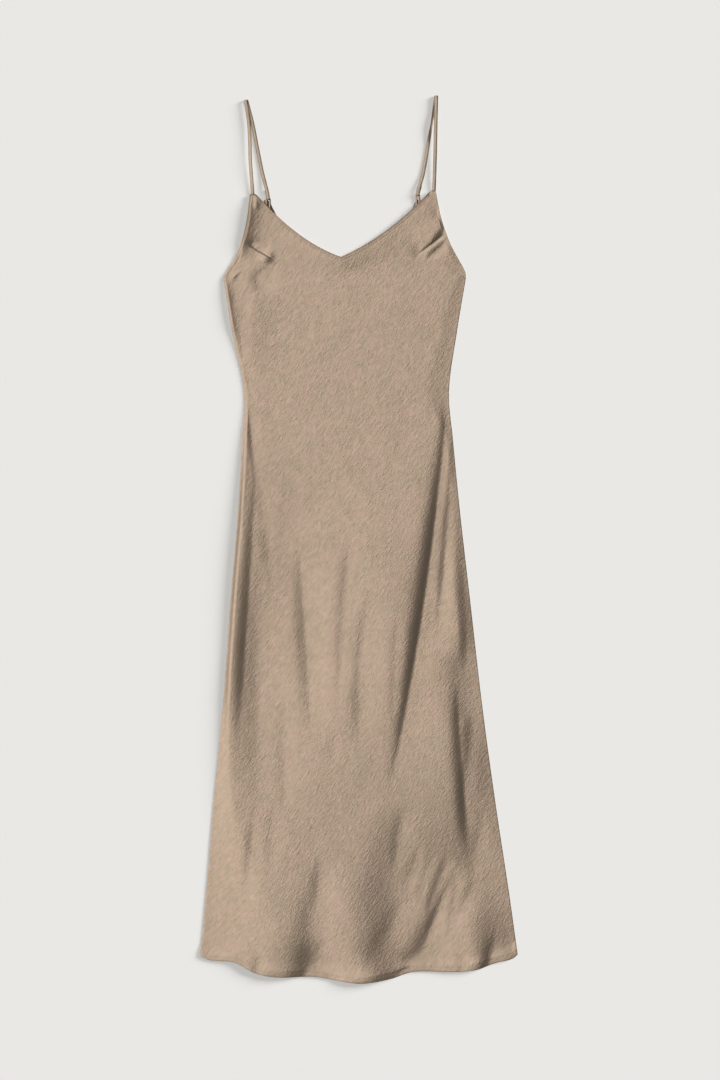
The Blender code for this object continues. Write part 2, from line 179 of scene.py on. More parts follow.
# Folds: valleys, where lift is negative, and ridges. Each runs from its start to its end, swerves to the
# right by "bow" halfway, and has a width on each side, as seen on that way. "crisp" is 2 for a left side
# that is round at the bottom and nearer 1 for one that ends in a crease.
Fold = namedtuple("Fold", "place start_x start_y end_x end_y bow left_width right_width lift crisp")
FOLDS = (
    Fold("right body fold", 40.0, -400.0, 133.0, 228.0, 11.0, 10.0, 90.0, -6.0, 1.15),
    Fold("top of body fold", 121.0, 60.0, 141.5, 305.0, 0.0, 5.0, 12.0, -0.8, 1.6),
    Fold("right side crease", 115.0, -150.0, 138.5, 130.0, 4.0, 6.0, 14.0, -1.7, 1.6),
    Fold("right edge fold", 158.0, -220.0, 153.0, 30.0, 5.0, 8.0, 10.0, -1.3, 1.5),
    Fold("right thigh fold", 168.0, -490.0, 146.0, -205.0, -2.0, 10.0, 90.0, -3.5, 1.4),
    Fold("right thigh crease", 163.5, -482.0, 153.0, -330.0, 0.0, 7.0, 30.0, -1.0, 1.5),
    Fold("right thigh slope", 172.0, -335.0, 184.0, -100.0, 0.0, 36.0, 60.0, -4.8, 2.0),
    Fold("right thigh wedge", 150.0, -290.0, 155.0, -155.0, 0.0, 20.0, 60.0, -1.2, 1.5),
    Fold("right knee branch", 156.5, -395.0, 179.5, -238.0, 0.0, 11.0, 18.0, -1.35, 1.8),
    Fold("right shin shade", 168.0, -600.0, 184.0, -440.0, 0.0, 30.0, 90.0, -1.8, 1.9),
    Fold("right shin branch", 167.0, -510.0, 190.0, -390.0, 0.0, 7.0, 13.0, -1.3, 1.6),
    Fold("right knee crease", 50.0, -507.0, 67.0, -392.0, 0.0, 8.0, 20.0, -1.0, 1.7),
    Fold("left side groove", -183.0, -330.0, -153.0, 120.0, 2.0, 10.0, 110.0, -2.9, 1.6),
    Fold("left hip hollow", -110.0, -150.0, -82.0, 140.0, 0.0, 44.0, 110.0, -2.6, 2.0),
    Fold("left waist ridge", -172.0, 300.0, -176.0, -30.0, 0.0, 16.0, 4.0, 2.0, 1.3),
    Fold("left waist groove", -152.0, 60.0, -180.0, 330.0, 0.0, 5.0, 12.0, -1.1, 1.5),
    Fold("beside left groove", -150.0, -350.0, -138.0, 20.0, 0.0, 20.0, 80.0, -1.1, 2.0),
    Fold("left thigh hollow", -146.0, -450.0, -150.0, -20.0, 0.0, 34.0, 90.0, -3.2, 1.9),
    Fold("left hip crease", -126.0, -90.0, -152.0, 150.0, -3.0, 8.0, 14.0, -0.5, 1.8),
    Fold("left middle fold", -70.0, -310.0, -92.0, 10.0, 3.0, 15.0, 46.0, -3.2, 1.6),
    Fold("middle fold", -32.0, -270.0, -13.0, 20.0, 0.0, 12.0, 30.0, -1.9, 1.7),
    Fold("right middle fold", 1.0, -320.0, 19.0, -60.0, -6.0, 14.0, 34.0, -2.2, 1.8),
    Fold("beside body fold", 50.0, -290.0, 58.0, -90.0, 0.0, 8.0, 14.0, -0.7, 1.8),
    Fold("left knee dips", -110.0, -430.0, -112.0, -220.0, 0.0, 10.0, 16.0, -0.7, 2.0),
    Fold("left shin dip", -172.0, -560.0, -156.0, -400.0, 0.0, 8.0, 16.0, -1.2, 1.7),
    Fold("left shin ripple", -136.0, -520.0, -126.0, -390.0, 0.0, 10.0, 16.0, -0.6, 2.0),
    Fold("left hem valley", -80.0, -760.0, -60.0, -470.0, 0.0, 22.0, 46.0, -2.2, 2.0),
    Fold("top of left hem valley", -62.0, -565.0, -58.0, -470.0, 0.0, 9.0, 26.0, -1.0, 1.8),
    Fold("left hem crease", -98.0, -705.0, -40.0, -585.0, 0.0, 24.0, 60.0, -3.3, 1.8),
    Fold("left hem tuck", -172.0, -608.0, -136.0, -610.0, 0.0, 3.5, 5.0, -0.6, 1.6),
    Fold("middle hem valley", 58.0, -800.0, 56.0, -380.0, 0.0, 36.0, 70.0, -2.8, 2.0),
    Fold("middle hem crease", 2.0, -655.0, 78.0, -525.0, 0.0, 12.0, 20.0, -0.8, 1.8),
    Fold("right hem valley", 54.0, -720.0, 134.0, -520.0, 0.0, 13.0, 80.0, -3.8, 1.5),
    Fold("top of right hem valley", 96.0, -575.0, 137.0, -465.0, 0.0, 7.0, 22.0, -1.7, 1.5),
    Fold("second shin ripple", 66.0, -535.0, 94.0, -455.0, 0.0, 8.0, 10.0, -0.5, 1.9),
    Fold("third shin ripple", 132.0, -598.0, 152.0, -500.0, 0.0, 7.0, 13.0, -1.2, 1.7),
    Fold("right shin crease", 96.0, -606.0, 158.0, -480.0, -3.0, 6.0, 20.0, -1.5, 1.5),
    Fold("right shin ripple", 88.0, -545.0, 114.0, -460.0, 0.0, 7.0, 10.0, -0.5, 1.9),
    Fold("fifth shin ripple", 176.0, -510.0, 190.0, -420.0, 0.0, 6.0, 10.0, -0.8, 1.6),
    Fold("fourth shin ripple", 136.0, -600.0, 176.0, -500.0, 0.0, 7.0, 18.0, -1.3, 1.6),
    Fold("right corner valley", 176.0, -704.0, 208.0, -576.0, 0.0, 8.0, 18.0, -3.0, 1.4),
    Fold("right hem dimple", 150.0, -660.0, 160.0, -612.0, 0.0, 8.0, 9.0, -0.8, 1.8),
    Fold("left hem dimple", -155.0, -680.0, -150.0, -610.0, 0.0, 8.0, 10.0, -1.2, 1.6),
    Fold("left corner groove", -232.0, -665.0, -221.0, -535.0, 0.0, 6.0, 10.0, -1.8, 1.5),
    Fold("left thigh ripple", -207.0, -370.0, -202.0, -250.0, 0.0, 5.0, 8.0, -0.8, 1.8),
    Fold("shin dimple", -39.0, -345.0, -36.0, -280.0, 0.0, 8.0, 8.0, -0.4, 2.0),
    Fold("left underarm crease", -198.0, 385.0, -176.0, 404.0, 0.0, 3.0, 2.5, 1.2, 1.8),
    Fold("left armhole ridge", -156.0, 534.0, -179.5, 410.0, 0.0, 15.0, 3.0, 4.2, 1.2),
    Fold("left tip smear", -150.5, 524.0, -155.5, 490.0, 0.0, 6.0, 4.0, 1.25, 1.4),
    Fold("left underarm ridge", -208.5, 424.0, -184.5, 272.0, 0.0, 9.0, 3.0, 3.6, 1.1),
    Fold("above left dart", -172.0, 446.0, -130.0, 423.0, 0.0, 10.0, 3.0, -0.8, 1.5),
    Fold("left dart", -166.0, 443.5, -126.0, 418.5, 0.0, 2.0, 1.8, -1.5, 1.1),
    Fold("right dart", 78.0, 418.0, 142.0, 466.0, -1.5, 1.8, 2.4, -1.5, 1.2),
    Fold("above right dart", 102.0, 432.0, 153.0, 487.0, 0.0, 5.5, 6.0, -2.2, 1.8),
    Fold("below right dart", 96.0, 414.0, 147.0, 468.0, 2.0, 5.0, 8.0, -1.7, 1.8),
)
ROUND = 2.0  # what "crisp" would be for a fold's right side
END_FADE = 0.42  # share of a fold's length over which each end fades
END_WIDTH = 0.45  # a fold's width at its ends, as a share of its width halfway

# Waves all over the front panel, and how far apart they are.
Uneven = namedtuple("Uneven", "place lift spacing")
UNEVEN = (
    Uneven("lie of the cloth", 0.35, 46.0),
    Uneven("puckers", 0.10, 15.0),
)
HEM_STITCH_DEPTH = 6.6  # from the hem's edge to its stitching
HEM_PUCKER = 0.15  # how far the stitching pulls the cloth in
HEM_PUCKER_WIDTH = 1.3

# The front panel's columns and rows lie closer near its edges, and finer still over the darts.
Band = namedtuple("Band", "place end pieces")
CURL_SHARE = 0.004  # shares past a side edge that stand for its curl
TURN_SHARE = 0.004  # and below the hem for its turned part
FRONT_COLUMNS = (
    Band("left curl", 0.0, 3),
    Band("left edge", 0.04, 10),
    Band("middle", 0.96, 140),
    Band("right edge", 0.99, 8),
    Band("right rim", 1.0, 7),
    Band("right curl", 1.0 + CURL_SHARE, 3),
)
BODY_SHARE = 46 / 54  # share of a front panel's "along" that lies below the underarms
FRONT_ROWS = (
    Band("hem turn", 0.0, 9),
    Band("hem", 0.0085, 9),
    Band("skirt and body", 0.760, 140),
    Band("ribs", BODY_SHARE, 26),
    Band("yoke", 1.0, 44),
)
BACK_BODY_SHARE = 26 / 33
BACK_COLUMNS = (Band("all", 1.0, 50),)
BACK_ROWS = (Band("hem turn", 0.0, 9), Band("hem", 0.006, 4), Band("all", 1.0, 90))
# Where the front panel is cut finer for its darts.
Patch = namedtuple("Patch", "place low_across high_across low_along high_along")
DART_PATCHES = (
    Patch("left dart", 0.03, 0.17, 0.885, 0.955),
    Patch("right dart", 0.83, 0.98, 0.885, 0.955),
)
PATCH_CUTS = 2
PROBE = 0.002  # step, as a share of a panel, for measuring which way it runs

# A binding wraps an edge: each point's depth inside the edge and its height over the panel's lower face.
Wrap = namedtuple("Wrap", "depth height")
WRAP_WALL = 0.2
WRAP_EASE = 0.15  # between the binding and the cloth inside it
WRAP_TURNS = 6
WRAP_FADE = 0.015  # share of its length over which a binding's end sinks into the cloth
END_SINK = 0.35  # how deep it sinks
STITCH_DEPTH = 3.6
STITCH_BED = 0.02  # between a panel and its binding, under the stitches
TOP_WRAP = (
    Wrap(4.8, CLOTH + 0.01),
    Wrap(4.4, CLOTH + 0.03),
    Wrap(STITCH_DEPTH, CLOTH + STITCH_BED),
    Wrap(2.8, CLOTH + 0.04),
    Wrap(1.6, CLOTH + 0.06),
    Wrap(0.6, CLOTH + 0.06),
)
RIM_DEPTH = 1.7  # depth of a binding's outer rim, which gets painted shade
RIM = "rim"  # name of the value that says how much painted shade a point gets
UNDER_WRAP = (Wrap(1.5, -WRAP_EASE), Wrap(4.0, -WRAP_EASE))

# An edge runs from its start to its end, both in shares across and along. The shades say how much painted
# shade the rim of its binding gets at each, from 0 to 1.
Edge = namedtuple("Edge", "name node start end inward pieces start_shade end_shade")
UP, DOWN, RIGHT, LEFT = (0.0, 1.0), (0.0, -1.0), (1.0, 0.0), (-1.0, 0.0)
FRONT_EDGES = (
    Edge("neck_wrap", "front_neck_binding", (0.037, 1.0), (0.972, 1.0), DOWN, 220, 0.25, 0.9),
    Edge("left_armhole_wrap", "armhole_binding_left", (0.0, BODY_SHARE), (0.0, 0.999), RIGHT, 90, 0.0, 0.8),
    Edge("right_armhole_wrap", "armhole_binding_right", (1.0, 0.999), (1.0, BODY_SHARE), LEFT, 90, 0.0, 0.0),
)
BACK_EDGE = Edge("back_neck_wrap", "back_neck_binding", (0.06, 1.0), (0.94, 1.0), DOWN, 120, 0.0, 0.0)
HEM_SEAM = Edge("hem", "", (0.004, 0.0), (0.996, 0.0), UP, 0, 0.0, 0.0)  # sewn, with no binding

# The straps, from the end sewn in under the front tip, up, over the fold and down to the loop: the middle of
# the strap, and how far it is turned on its edge, in degrees.
STRAP_HALF = 2.7  # half of its width
STRAP_THIN = 0.75  # half of its thickness
STRAP_STEP = 2.4  # between the rings of its points
STRAP_SIDES = 18
RIM_WIDE = 0.8  # the outer part of a strap's or loop's width, whose colour gets painted shade
STRAP_SQUARE = 2.4  # power of the rounding of a strap's section
WELD = 0.01  # points of a tube that lie closer are joined
FOLD_STEPS = 10
WRAP_STEPS = 10
TAIL_STEPS = 6
TAIL = 13.0  # length of the strap's end behind the loop
TAIL_RISE = 0.02  # how much higher each of its steps lies
END_NARROW = 0.84  # share of its width that the strap has where it goes through its loop
NARROW_STEPS = 7  # steps over which it narrows, before as many narrow ones
Station = namedtuple("Station", "x y z turn")
LEFT_STRAP_FRONT = (
    Station(-158.5, 506.0, 2.3, 0.0),
    Station(-159.3, 517.0, 2.4, 0.0),
    Station(-161.0, 540.0, 3.6, -16.0),
    Station(-163.0, 569.0, 4.6, -20.0),
    Station(-163.5, 590.0, 5.0, -14.0),
    Station(-165.0, 623.0, 4.6, 0.0),
    Station(-169.6, 657.2, 4.4, 0.0),
)
LEFT_STRAP_BACK = (
    Station(-168.4, 657.2, 0.9, 0.0),
    Station(-159.6, 623.0, 0.9, 0.0),
    Station(-152.6, 587.0, 1.2, 0.0),
    Station(-145.2, 551.0, 1.6, 0.0),
    Station(-139.4, 528.0, 3.4, 0.0),
    Station(-137.0, 518.0, 4.0, 0.0),
)
RIGHT_STRAP_FRONT = (
    Station(112.0, 510.0, 2.3, 0.0),
    Station(112.4, 522.0, 2.4, 0.0),
    Station(113.0, 540.0, 3.6, 0.0),
    Station(114.2, 580.0, 4.8, 0.0),
    Station(115.0, 623.0, 4.6, 0.0),
    Station(116.0, 663.4, 4.4, 0.0),
)
RIGHT_STRAP_BACK = (
    Station(115.4, 663.4, 0.9, 0.0),
    Station(112.4, 645.0, 1.9, -30.0),
    Station(108.9, 623.0, 2.6, -55.0),
    Station(105.6, 604.0, 1.9, -22.0),
    Station(102.8, 587.0, 1.4, 0.0),
    Station(96.6, 551.0, 1.6, 0.0),
    Station(91.4, 532.0, 3.4, 0.0),
    Station(89.2, 524.5, 4.0, 0.0),
)
Loop = namedtuple("Loop", "foot_x foot_y bow_x bow_y half_gap")
LEFT_LOOP = Loop(-136.5, 494.0, -136.2, 508.5, 2.6)
RIGHT_LOOP = Loop(88.4, 498.0, 88.2, 515.0, 2.1)
LOOP_ROD = 0.9  # half of the rod's height
LOOP_FLAT = 1.6  # half of its width
LOOP_SQUARE = 2.0  # its section is a plain oval
LOOP_SIDES = 12
LOOP_TURNS = 18
LOOP_LEG_STEPS = 8
LOOP_FOOT_LEVEL = CLOTH + GAP + LOOP_ROD
LOOP_BOW_LEVEL = 2.4

# Thread
STITCH_LENGTH = 2.1
STITCH_WIDTH = 0.42
STITCH_HEIGHT = 0.3
STITCH_STAND = 0.3 * STITCH_HEIGHT  # height of its middle over what it is sewn on
STITCH_PITCH = 3.0
SEAM_PROBES = 400  # points at which a seam's length is measured

# Finishes. The grain is the way the streaks run, in degrees from +X towards +Y. Sizes here are in metres.
Satin = namedtuple("Satin", "name warm cool grain metallic")
FACE = Satin("taupe_satin", (0.470, 0.345, 0.260, 1.0), (0.430, 0.332, 0.236, 1.0), 55.0, 0.85)
# The back panel's reverse: partly its own duller tone, partly painted shade from the front panel over it.
SHADED_REVERSE = Satin("satin_reverse_shaded", (0.260, 0.190, 0.140, 1.0), (0.230, 0.178, 0.125, 1.0), 55.0, 0.2)
BIAS = Satin("bias_satin", (0.465, 0.342, 0.256, 1.0), (0.425, 0.330, 0.233, 1.0), 55.0, 0.85)
TURNED = Satin("strap_satin", (0.470, 0.350, 0.265, 1.0), (0.430, 0.350, 0.245, 1.0), 100.0, 0.7)
THREAD = (0.40, 0.30, 0.215, 1.0)
THREAD_ROUGHNESS = 0.6
PLAIN_GLOSS = 0.2  # of the thread and the floor
SHEEN = 0.15
SHEEN_ROUGHNESS = 0.5
RELIEF = 0.36 * MM  # of the streaks and the weave
STREAK_SIZE = (0.0085, 0.0033, 0.0085)
STREAK_DETAIL = 2.0
STREAK_WAVER = 0.4
WEAVE_SIZE = (0.0042, 0.0021, 0.0042)
WEAVE_DETAIL = 1.0
WEAVE_SHARE = 0.5  # the weave's relief beside the streaks'
PATCHES_PER_METRE = 70.0  # patches in which the streaks are stronger or weaker
PATCH_DETAIL = 1.0
MOTTLE_PER_METRE = 60.0  # patches of the warm and the cool tone
MOTTLE_DETAIL = 3.0
NOISE_MIDDLE = 0.5

# From the range of a noise or a mark to the range of what it drives.
Span = namedtuple("Span", "low high to_low to_high")
MOTTLE_BLEND = Span(0.32, 0.68, 0.0, 1.0)
PATCH_STRENGTH = Span(0.36, 0.64, 0.55, 0.95)
STREAK_TONE = Span(0.3, 0.7, 0.91, 1.09)
STREAK_ROUGHNESS = Span(0.3, 0.7, 0.40, 0.32)
# Painted shade on marked rims: a full mark halves the colour.
RIM_PAINTED_SHADE = Span(0.0, 1.0, 1.0, 0.5)


def smooth_step(share):
    share = np.clip(share, 0.0, 1.0)
    return share * share * (3.0 - 2.0 * share)


def smooth_read(rows, key, value, at):
    """The named value of a table at places between its rows, on a curve with no corners."""
    keys = np.array([getattr(row, key) for row in rows])
    values = np.array([getattr(row, value) for row in rows])
    slopes = np.empty_like(values)
    slopes[1:-1] = (values[2:] - values[:-2]) / (keys[2:] - keys[:-2])
    slopes[0] = (values[1] - values[0]) / (keys[1] - keys[0])
    slopes[-1] = (values[-1] - values[-2]) / (keys[-1] - keys[-2])
    at = np.clip(at, keys[0], keys[-1])
    low = np.clip(np.searchsorted(keys, at, side="right") - 1, 0, len(keys) - 2)
    span = keys[low + 1] - keys[low]
    share = (at - keys[low]) / span
    square, cube = share**2, share**3
    return (
        (2 * cube - 3 * square + 1) * values[low]
        + (cube - 2 * square + share) * span * slopes[low]
        + (3 * square - 2 * cube) * values[low + 1]
        + (cube - square) * span * slopes[low + 1]
    )


class Panel:
    """A laid panel, read by shares: across from left to right, along from the hem to the strap tips."""

    def __init__(self, armholes, neckline, yoke, body_share):
        self.armholes = armholes
        self.neckline = neckline
        self.yoke = yoke
        self.tip = armholes[-1].level
        self.body_share = body_share

    def level(self, along):
        body = HEM_LEVEL + (self.yoke - HEM_LEVEL) * along / self.body_share
        yoke = self.yoke + (self.tip - self.yoke) * (along - self.body_share) / (1.0 - self.body_share)
        return np.where(along <= self.body_share, body, yoke)

    def edge(self, side, level):
        below = smooth_read(SIDE_SEAMS, "level", side, level)
        above = smooth_read(self.armholes, "level", side, level)
        trim = EDGE_TRIM + ARMHOLE_TRIM * smooth_step((level - UNDERARM_LEVEL) / TRIM_FADE)
        return np.where(level <= UNDERARM_LEVEL, below, above) + (trim if side == "left" else -trim)

    def neck_level(self, x):
        neck = self.neckline
        on_left = x < neck.low_across
        tip = np.where(on_left, neck.left_tip, neck.right_tip)
        straight = np.where(on_left, neck.left_straight, neck.right_straight)
        rise = np.where(on_left, neck.left_rise, neck.right_rise)
        share = np.minimum((x - neck.low_across) / (tip - neck.low_across), 1.0)
        return neck.low_level - EDGE_TRIM + rise * (straight * share + (1.0 - straight) * share * share)

    def neck_above(self, across):
        """The neckline's height over the yoke line."""
        left, right = self.edge("left", self.tip), self.edge("right", self.tip)
        return self.neck_level(left + (right - left) * across) - self.yoke

    def place(self, across, along):
        level = self.level(along)
        left, right = self.edge("left", level), self.edge("right", level)
        x = left + (right - left) * across
        fade = 1.0 - smooth_step((level - HEM_LEVEL) / HEM_REACH)
        body = level + EDGE_TRIM - smooth_read(HEM, "across", "drop", across) * fade
        share = (level - self.yoke) / (self.tip - self.yoke)
        return x, np.where(level > self.yoke, self.yoke + self.neck_above(across) * share, body)


FRONT = Panel(FRONT_ARMHOLES, FRONT_NECK, UNDERARM_LEVEL, BODY_SHARE)
BACK = Panel(BACK_ARMHOLES, BACK_NECK, BACK_YOKE, BACK_BODY_SHARE)


def swell_lift(swell, x, y):
    far = ((x - swell.across) / swell.reach_across) ** 2 + ((y - swell.level) / swell.reach_level) ** 2
    return swell.lift * np.exp(-far)


def fold_lift(fold, x, y):
    run_x, run_y = fold.end_x - fold.start_x, fold.end_y - fold.start_y
    length = math.hypot(run_x, run_y)
    share = ((x - fold.start_x) * run_x + (y - fold.start_y) * run_y) / length**2
    offset = ((x - fold.start_x) * run_y - (y - fold.start_y) * run_x) / length
    offset = offset - fold.bow * 4.0 * share * (1.0 - share)
    ends = smooth_step(np.minimum(share, 1.0 - share) / END_FADE)
    taper = END_WIDTH + (1.0 - END_WIDTH) * ends
    width = np.where(offset < 0.0, fold.left_width, fold.right_width) * taper
    power = np.where(offset < 0.0, fold.crisp, ROUND)
    return fold.lift * ends * np.exp(-((np.abs(offset) / width) ** power))


def uneven(x, y):
    spots = np.stack((x, y), axis=-1)
    lift = np.zeros_like(x)
    for layer in UNEVEN:
        lift += layer.lift * np.array([noise.noise(Vector((*spot, 0.0)) / layer.spacing) for spot in spots])
    return lift


def roll(distance, width):
    """From 0 at an edge to 1 inside, as cloth rolls down over its own width."""
    share = np.clip(distance / width, 0.0, 1.0)
    return (1.0 - (1.0 - share) ** 2) ** ROLL_POWER


def ease(distance, width):
    """From 0 at a seam to 1 inside, as cloth leaves the seam flat and then climbs over its own width."""
    share = smooth_step(distance / width)
    return SEAM_EASE * share + (1.0 - SEAM_EASE) * roll(distance, width)


def front_lie(across, along):
    """Places of the front panel's lower face inside its edges, in millimetres."""
    level = FRONT.level(along)
    x, y = FRONT.place(across, along)
    left, right = FRONT.edge("left", level), FRONT.edge("right", level)
    lift = smooth_read(PLUMP, "level", "lift", level)
    lift = lift + sum(swell_lift(swell, x, y) for swell in SWELLS)
    lift = lift + sum(fold_lift(fold, x, y) for fold in FOLDS) + uneven(x, y)
    neck = np.clip((level - FRONT.yoke) / (FRONT.tip - FRONT.yoke), 0.0, 1.0)
    tip_rest = (TIP_REST - SEAM_REST) * smooth_step(neck)
    least = LEAST_LIFT - TIP_SLACK * tip_rest
    lift = least + REST_SOFTNESS * np.log1p(np.exp((lift - least) / REST_SOFTNESS))
    lift = lift * ease(x - left, smooth_read(PLUMP, "level", "left_roll", level))
    lift = lift * ease(right - x, smooth_read(PLUMP, "level", "right_roll", level))
    from_neck = FRONT.neck_above(across) * (1.0 - neck) + np.maximum(FRONT.yoke - level, 0.0)
    lift = lift * (NECK_REST + (1.0 - NECK_REST) * roll(from_neck, NECK_ROLL))
    from_hem = level - HEM_LEVEL
    lift = lift * (HEM_REST + (1.0 - HEM_REST) * roll(from_hem, HEM_ROLL))
    pucker = np.exp(-(((from_hem - HEM_STITCH_DEPTH) / HEM_PUCKER_WIDTH) ** 2))
    over_hems = 1.0 - smooth_step((from_hem - HEM_TURN) / HEM_LIFT_FADE)
    rest = SEAM_REST + tip_rest + HEM_LIFT * over_hems - HEM_PUCKER * pucker
    return x, y, rest + lift


def hem_turn(along):
    """For shares below the hem: where they lie along, and how far out and off the panel they are."""
    turn = np.clip(-along / TURN_SHARE, 0.0, 1.0)
    angle = np.minimum(turn * 2.0, 1.0) * math.pi
    back = np.maximum(turn * 2.0 - 1.0, 0.0) * HEM_TURN
    reach = back / (FRONT.yoke - HEM_LEVEL) * BODY_SHARE
    return np.maximum(along, 0.0) + reach, HEM_CURL * np.sin(angle), HEM_CURL * (1.0 - np.cos(angle))


def front_underside(across, along):
    """Places of the front panel's lower face, in millimetres. Shares past an edge curl round it."""
    inside = np.clip(across, 0.0, 1.0)
    along_panel, out, off = hem_turn(along)
    x, y, z = front_lie(inside, along_panel)
    curl = np.clip((across - inside) / CURL_SHARE, -1.0, 1.0) * math.pi / 2
    below = 1.0 - smooth_step((FRONT.level(along_panel) - FRONT.yoke + CURL_START) / CURL_FADE)
    radius = CURL_LEAST + (SIDE_CURL - CURL_LEAST) * below
    return x + radius * np.sin(curl), y - out, z - off - radius * (1.0 - np.cos(curl))


def back_top(across, along):
    """Places of the back panel's upper face. Its hem is turned up on to it."""
    along_panel, out, off = hem_turn(along)
    x, y = BACK.place(across, along_panel)
    return x, y - out, CLOTH + off


def back_underside(across, along):
    x, y = BACK.place(across, along)
    return x, y, np.zeros_like(x)


# ---------------------------------------------------------------- pieces


def paint_rim_shade(shape, values):
    """Marks how much painted shade each point gets on its rim, for the finish to darken its colour by."""
    layer = shape.verts.layers.float.new(RIM)
    for vertex, value in zip(shape.verts, values):
        vertex[layer] = float(value)


def keep_piece(name, shape, material, slot, *nodes):
    """A finished piece that rides on the dress and stands for its plain solids."""
    mesh = bpy.data.meshes.new(name)
    shape.to_mesh(mesh)
    shape.free()
    mesh.materials.append(material)
    mesh.shade_smooth()
    piece = bpy.data.objects.new(name, mesh)
    bpy.context.scene.collection.objects.link(piece)
    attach(piece, "root")
    if nodes:
        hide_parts(*nodes)
    return piece


def shares(bands, start):
    """The shares at which the columns or rows of a panel lie."""
    places, low = [start], start
    for band in bands:
        step = (band.end - low) / band.pieces
        places.extend(low + step * (piece + 1) for piece in range(band.pieces))
        low = band.end
    return places


def cut_finer(shape, patch):
    inside = [
        face
        for face in shape.faces
        if patch.low_across < face.calc_center_median().x < patch.high_across
        and patch.low_along < face.calc_center_median().y < patch.high_along
    ]
    edges = list({edge for face in inside for edge in face.edges})
    bmesh.ops.subdivide_edges(shape, edges=edges, cuts=PATCH_CUTS, use_grid_fill=True)


def share_grid(across, along):
    """A flat grid whose points lie at the given shares."""
    shape = bmesh.new()
    columns, rows = len(across) - 1, len(along) - 1
    bmesh.ops.create_grid(shape, x_segments=columns, y_segments=rows, size=0.5)
    for vertex in shape.verts:
        column, row = round((vertex.co.x + 0.5) * columns), round((vertex.co.y + 0.5) * rows)
        vertex.co = (across[column], along[row], 0.0)
    return shape


def lay(shape, surface):
    """Moves each point of a grid of shares to its place on a surface."""
    across = np.array([vertex.co.x for vertex in shape.verts])
    along = np.array([vertex.co.y for vertex in shape.verts])
    for vertex, *place in zip(shape.verts, *surface(across, along)):
        vertex.co = Vector(place) * MM


def thicken(piece, wall, side):
    shell = piece.modifiers.new("wall", "SOLIDIFY")
    shell.thickness = wall * MM
    shell.offset = side


def make_front_panel(satin):
    shape = share_grid(shares(FRONT_COLUMNS, -CURL_SHARE), shares(FRONT_ROWS, -TURN_SHARE))
    for patch in DART_PATCHES:
        cut_finer(shape, patch)
    lay(shape, front_underside)
    piece = keep_piece("front_cloth", shape, satin, "satin", "front_panel")
    thicken(piece, CLOTH, 1.0)
    return piece


def make_back_panel(shaded_reverse):
    shape = share_grid(shares(BACK_COLUMNS, 0.0), shares(BACK_ROWS, -TURN_SHARE))
    lay(shape, back_top)
    piece = keep_piece("back_cloth", shape, shaded_reverse, "satin", "back_panel")
    thicken(piece, CLOTH, -1.0)
    return piece


def unit(vectors):
    return vectors / np.linalg.norm(vectors, axis=-1, keepdims=True)


def edge_places(surface, edge, share, depth):
    """Points the given depth inside an edge, with the directions along it, off the cloth and outward."""
    length = math.dist(edge.start, edge.end)
    run = [(end - start) / length for start, end in zip(edge.start, edge.end)]
    here = [start + (end - start) * share for start, end in zip(edge.start, edge.end)]
    ahead = [np.clip(place + step * PROBE, 0.0, 1.0) for place, step in zip(here, run)]
    behind = [np.clip(place - step * PROBE, 0.0, 1.0) for place, step in zip(here, run)]

    def points(spot):
        return np.stack(surface(*spot), axis=-1)

    inner = points([place + step * PROBE for place, step in zip(here, edge.inward)]) - points(here)
    way = unit(points(ahead) - points(behind))
    normal = np.cross(way, inner)
    square = np.linalg.norm(normal, axis=-1)
    off = normal / square[:, None] * np.where(normal[:, 2:] < 0.0, -1.0, 1.0)
    reach = PROBE * depth / square
    place = points([place + step * reach for place, step in zip(here, edge.inward)])
    out = unit(np.cross(way, off))
    out = out * np.where(np.sum(out * inner, axis=-1, keepdims=True) > 0.0, -1.0, 1.0)
    return place, way, off, out


def wrap_profile(with_under):
    """(depth, height, out) of the points round an edge, from the inner rim above it to the one below."""
    profile = [(wrap.depth, wrap.height, 0.0) for wrap in TOP_WRAP]
    half = CLOTH / 2
    radius = half + WRAP_EASE
    turns = WRAP_TURNS if with_under else WRAP_TURNS // 2
    for turn in range(turns + 1):
        angle = math.pi * turn / WRAP_TURNS
        profile.append((0.0, half + radius * math.cos(angle), radius * math.sin(angle)))
    if with_under:
        profile.extend((wrap.depth, wrap.height, 0.0) for wrap in UNDER_WRAP)
    return profile


def wrap_edge(edge, surface, material, with_under=True):
    """A binding that is folded round an edge of a panel."""
    profile = np.array(wrap_profile(with_under))
    last = len(profile) - 1
    pieces = [piece / edge.pieces for piece in range(edge.pieces + 1)]
    shape = share_grid(pieces, [point / last for point in range(last + 1)])
    share = np.array([vertex.co.x for vertex in shape.verts])
    point = np.array([round(vertex.co.y * last) for vertex in shape.verts])
    depth, height, outward = profile[point].T
    ends = 1.0 - smooth_step(np.minimum(share, 1.0 - share) / WRAP_FADE)
    height = height - END_SINK * ends * (depth > 0.0) * (height > 0.0)
    # The binding's outer rim gets painted shade, which goes from its start's value to its end's.
    shade = edge.start_shade + (edge.end_shade - edge.start_shade) * share
    paint_rim_shade(shape, shade * (depth < RIM_DEPTH))
    place, way, off, out = edge_places(surface, edge, share, depth)
    for vertex, co in zip(shape.verts, place + off * height[:, None] + out * outward[:, None]):
        vertex.co = Vector(co) * MM
    if np.dot(np.cross(way[0], out[0]), off[0]) < 0.0:
        bmesh.ops.reverse_faces(shape, faces=shape.faces)
    piece = keep_piece(edge.name, shape, material, "binding", edge.node)
    thicken(piece, WRAP_WALL, 1.0)
    return piece


def add_stitch(shape, middle, way, off):
    side = np.cross(off, way)
    axes = (way * STITCH_LENGTH / 2, side * STITCH_WIDTH / 2, off * STITCH_HEIGHT / 2)
    axes = np.stack(axes, axis=-1) * MM
    place = Matrix.Translation(Vector(middle) * MM) @ Matrix(axes.tolist()).to_4x4()
    bmesh.ops.create_icosphere(shape, subdivisions=2, radius=1.0, matrix=place)


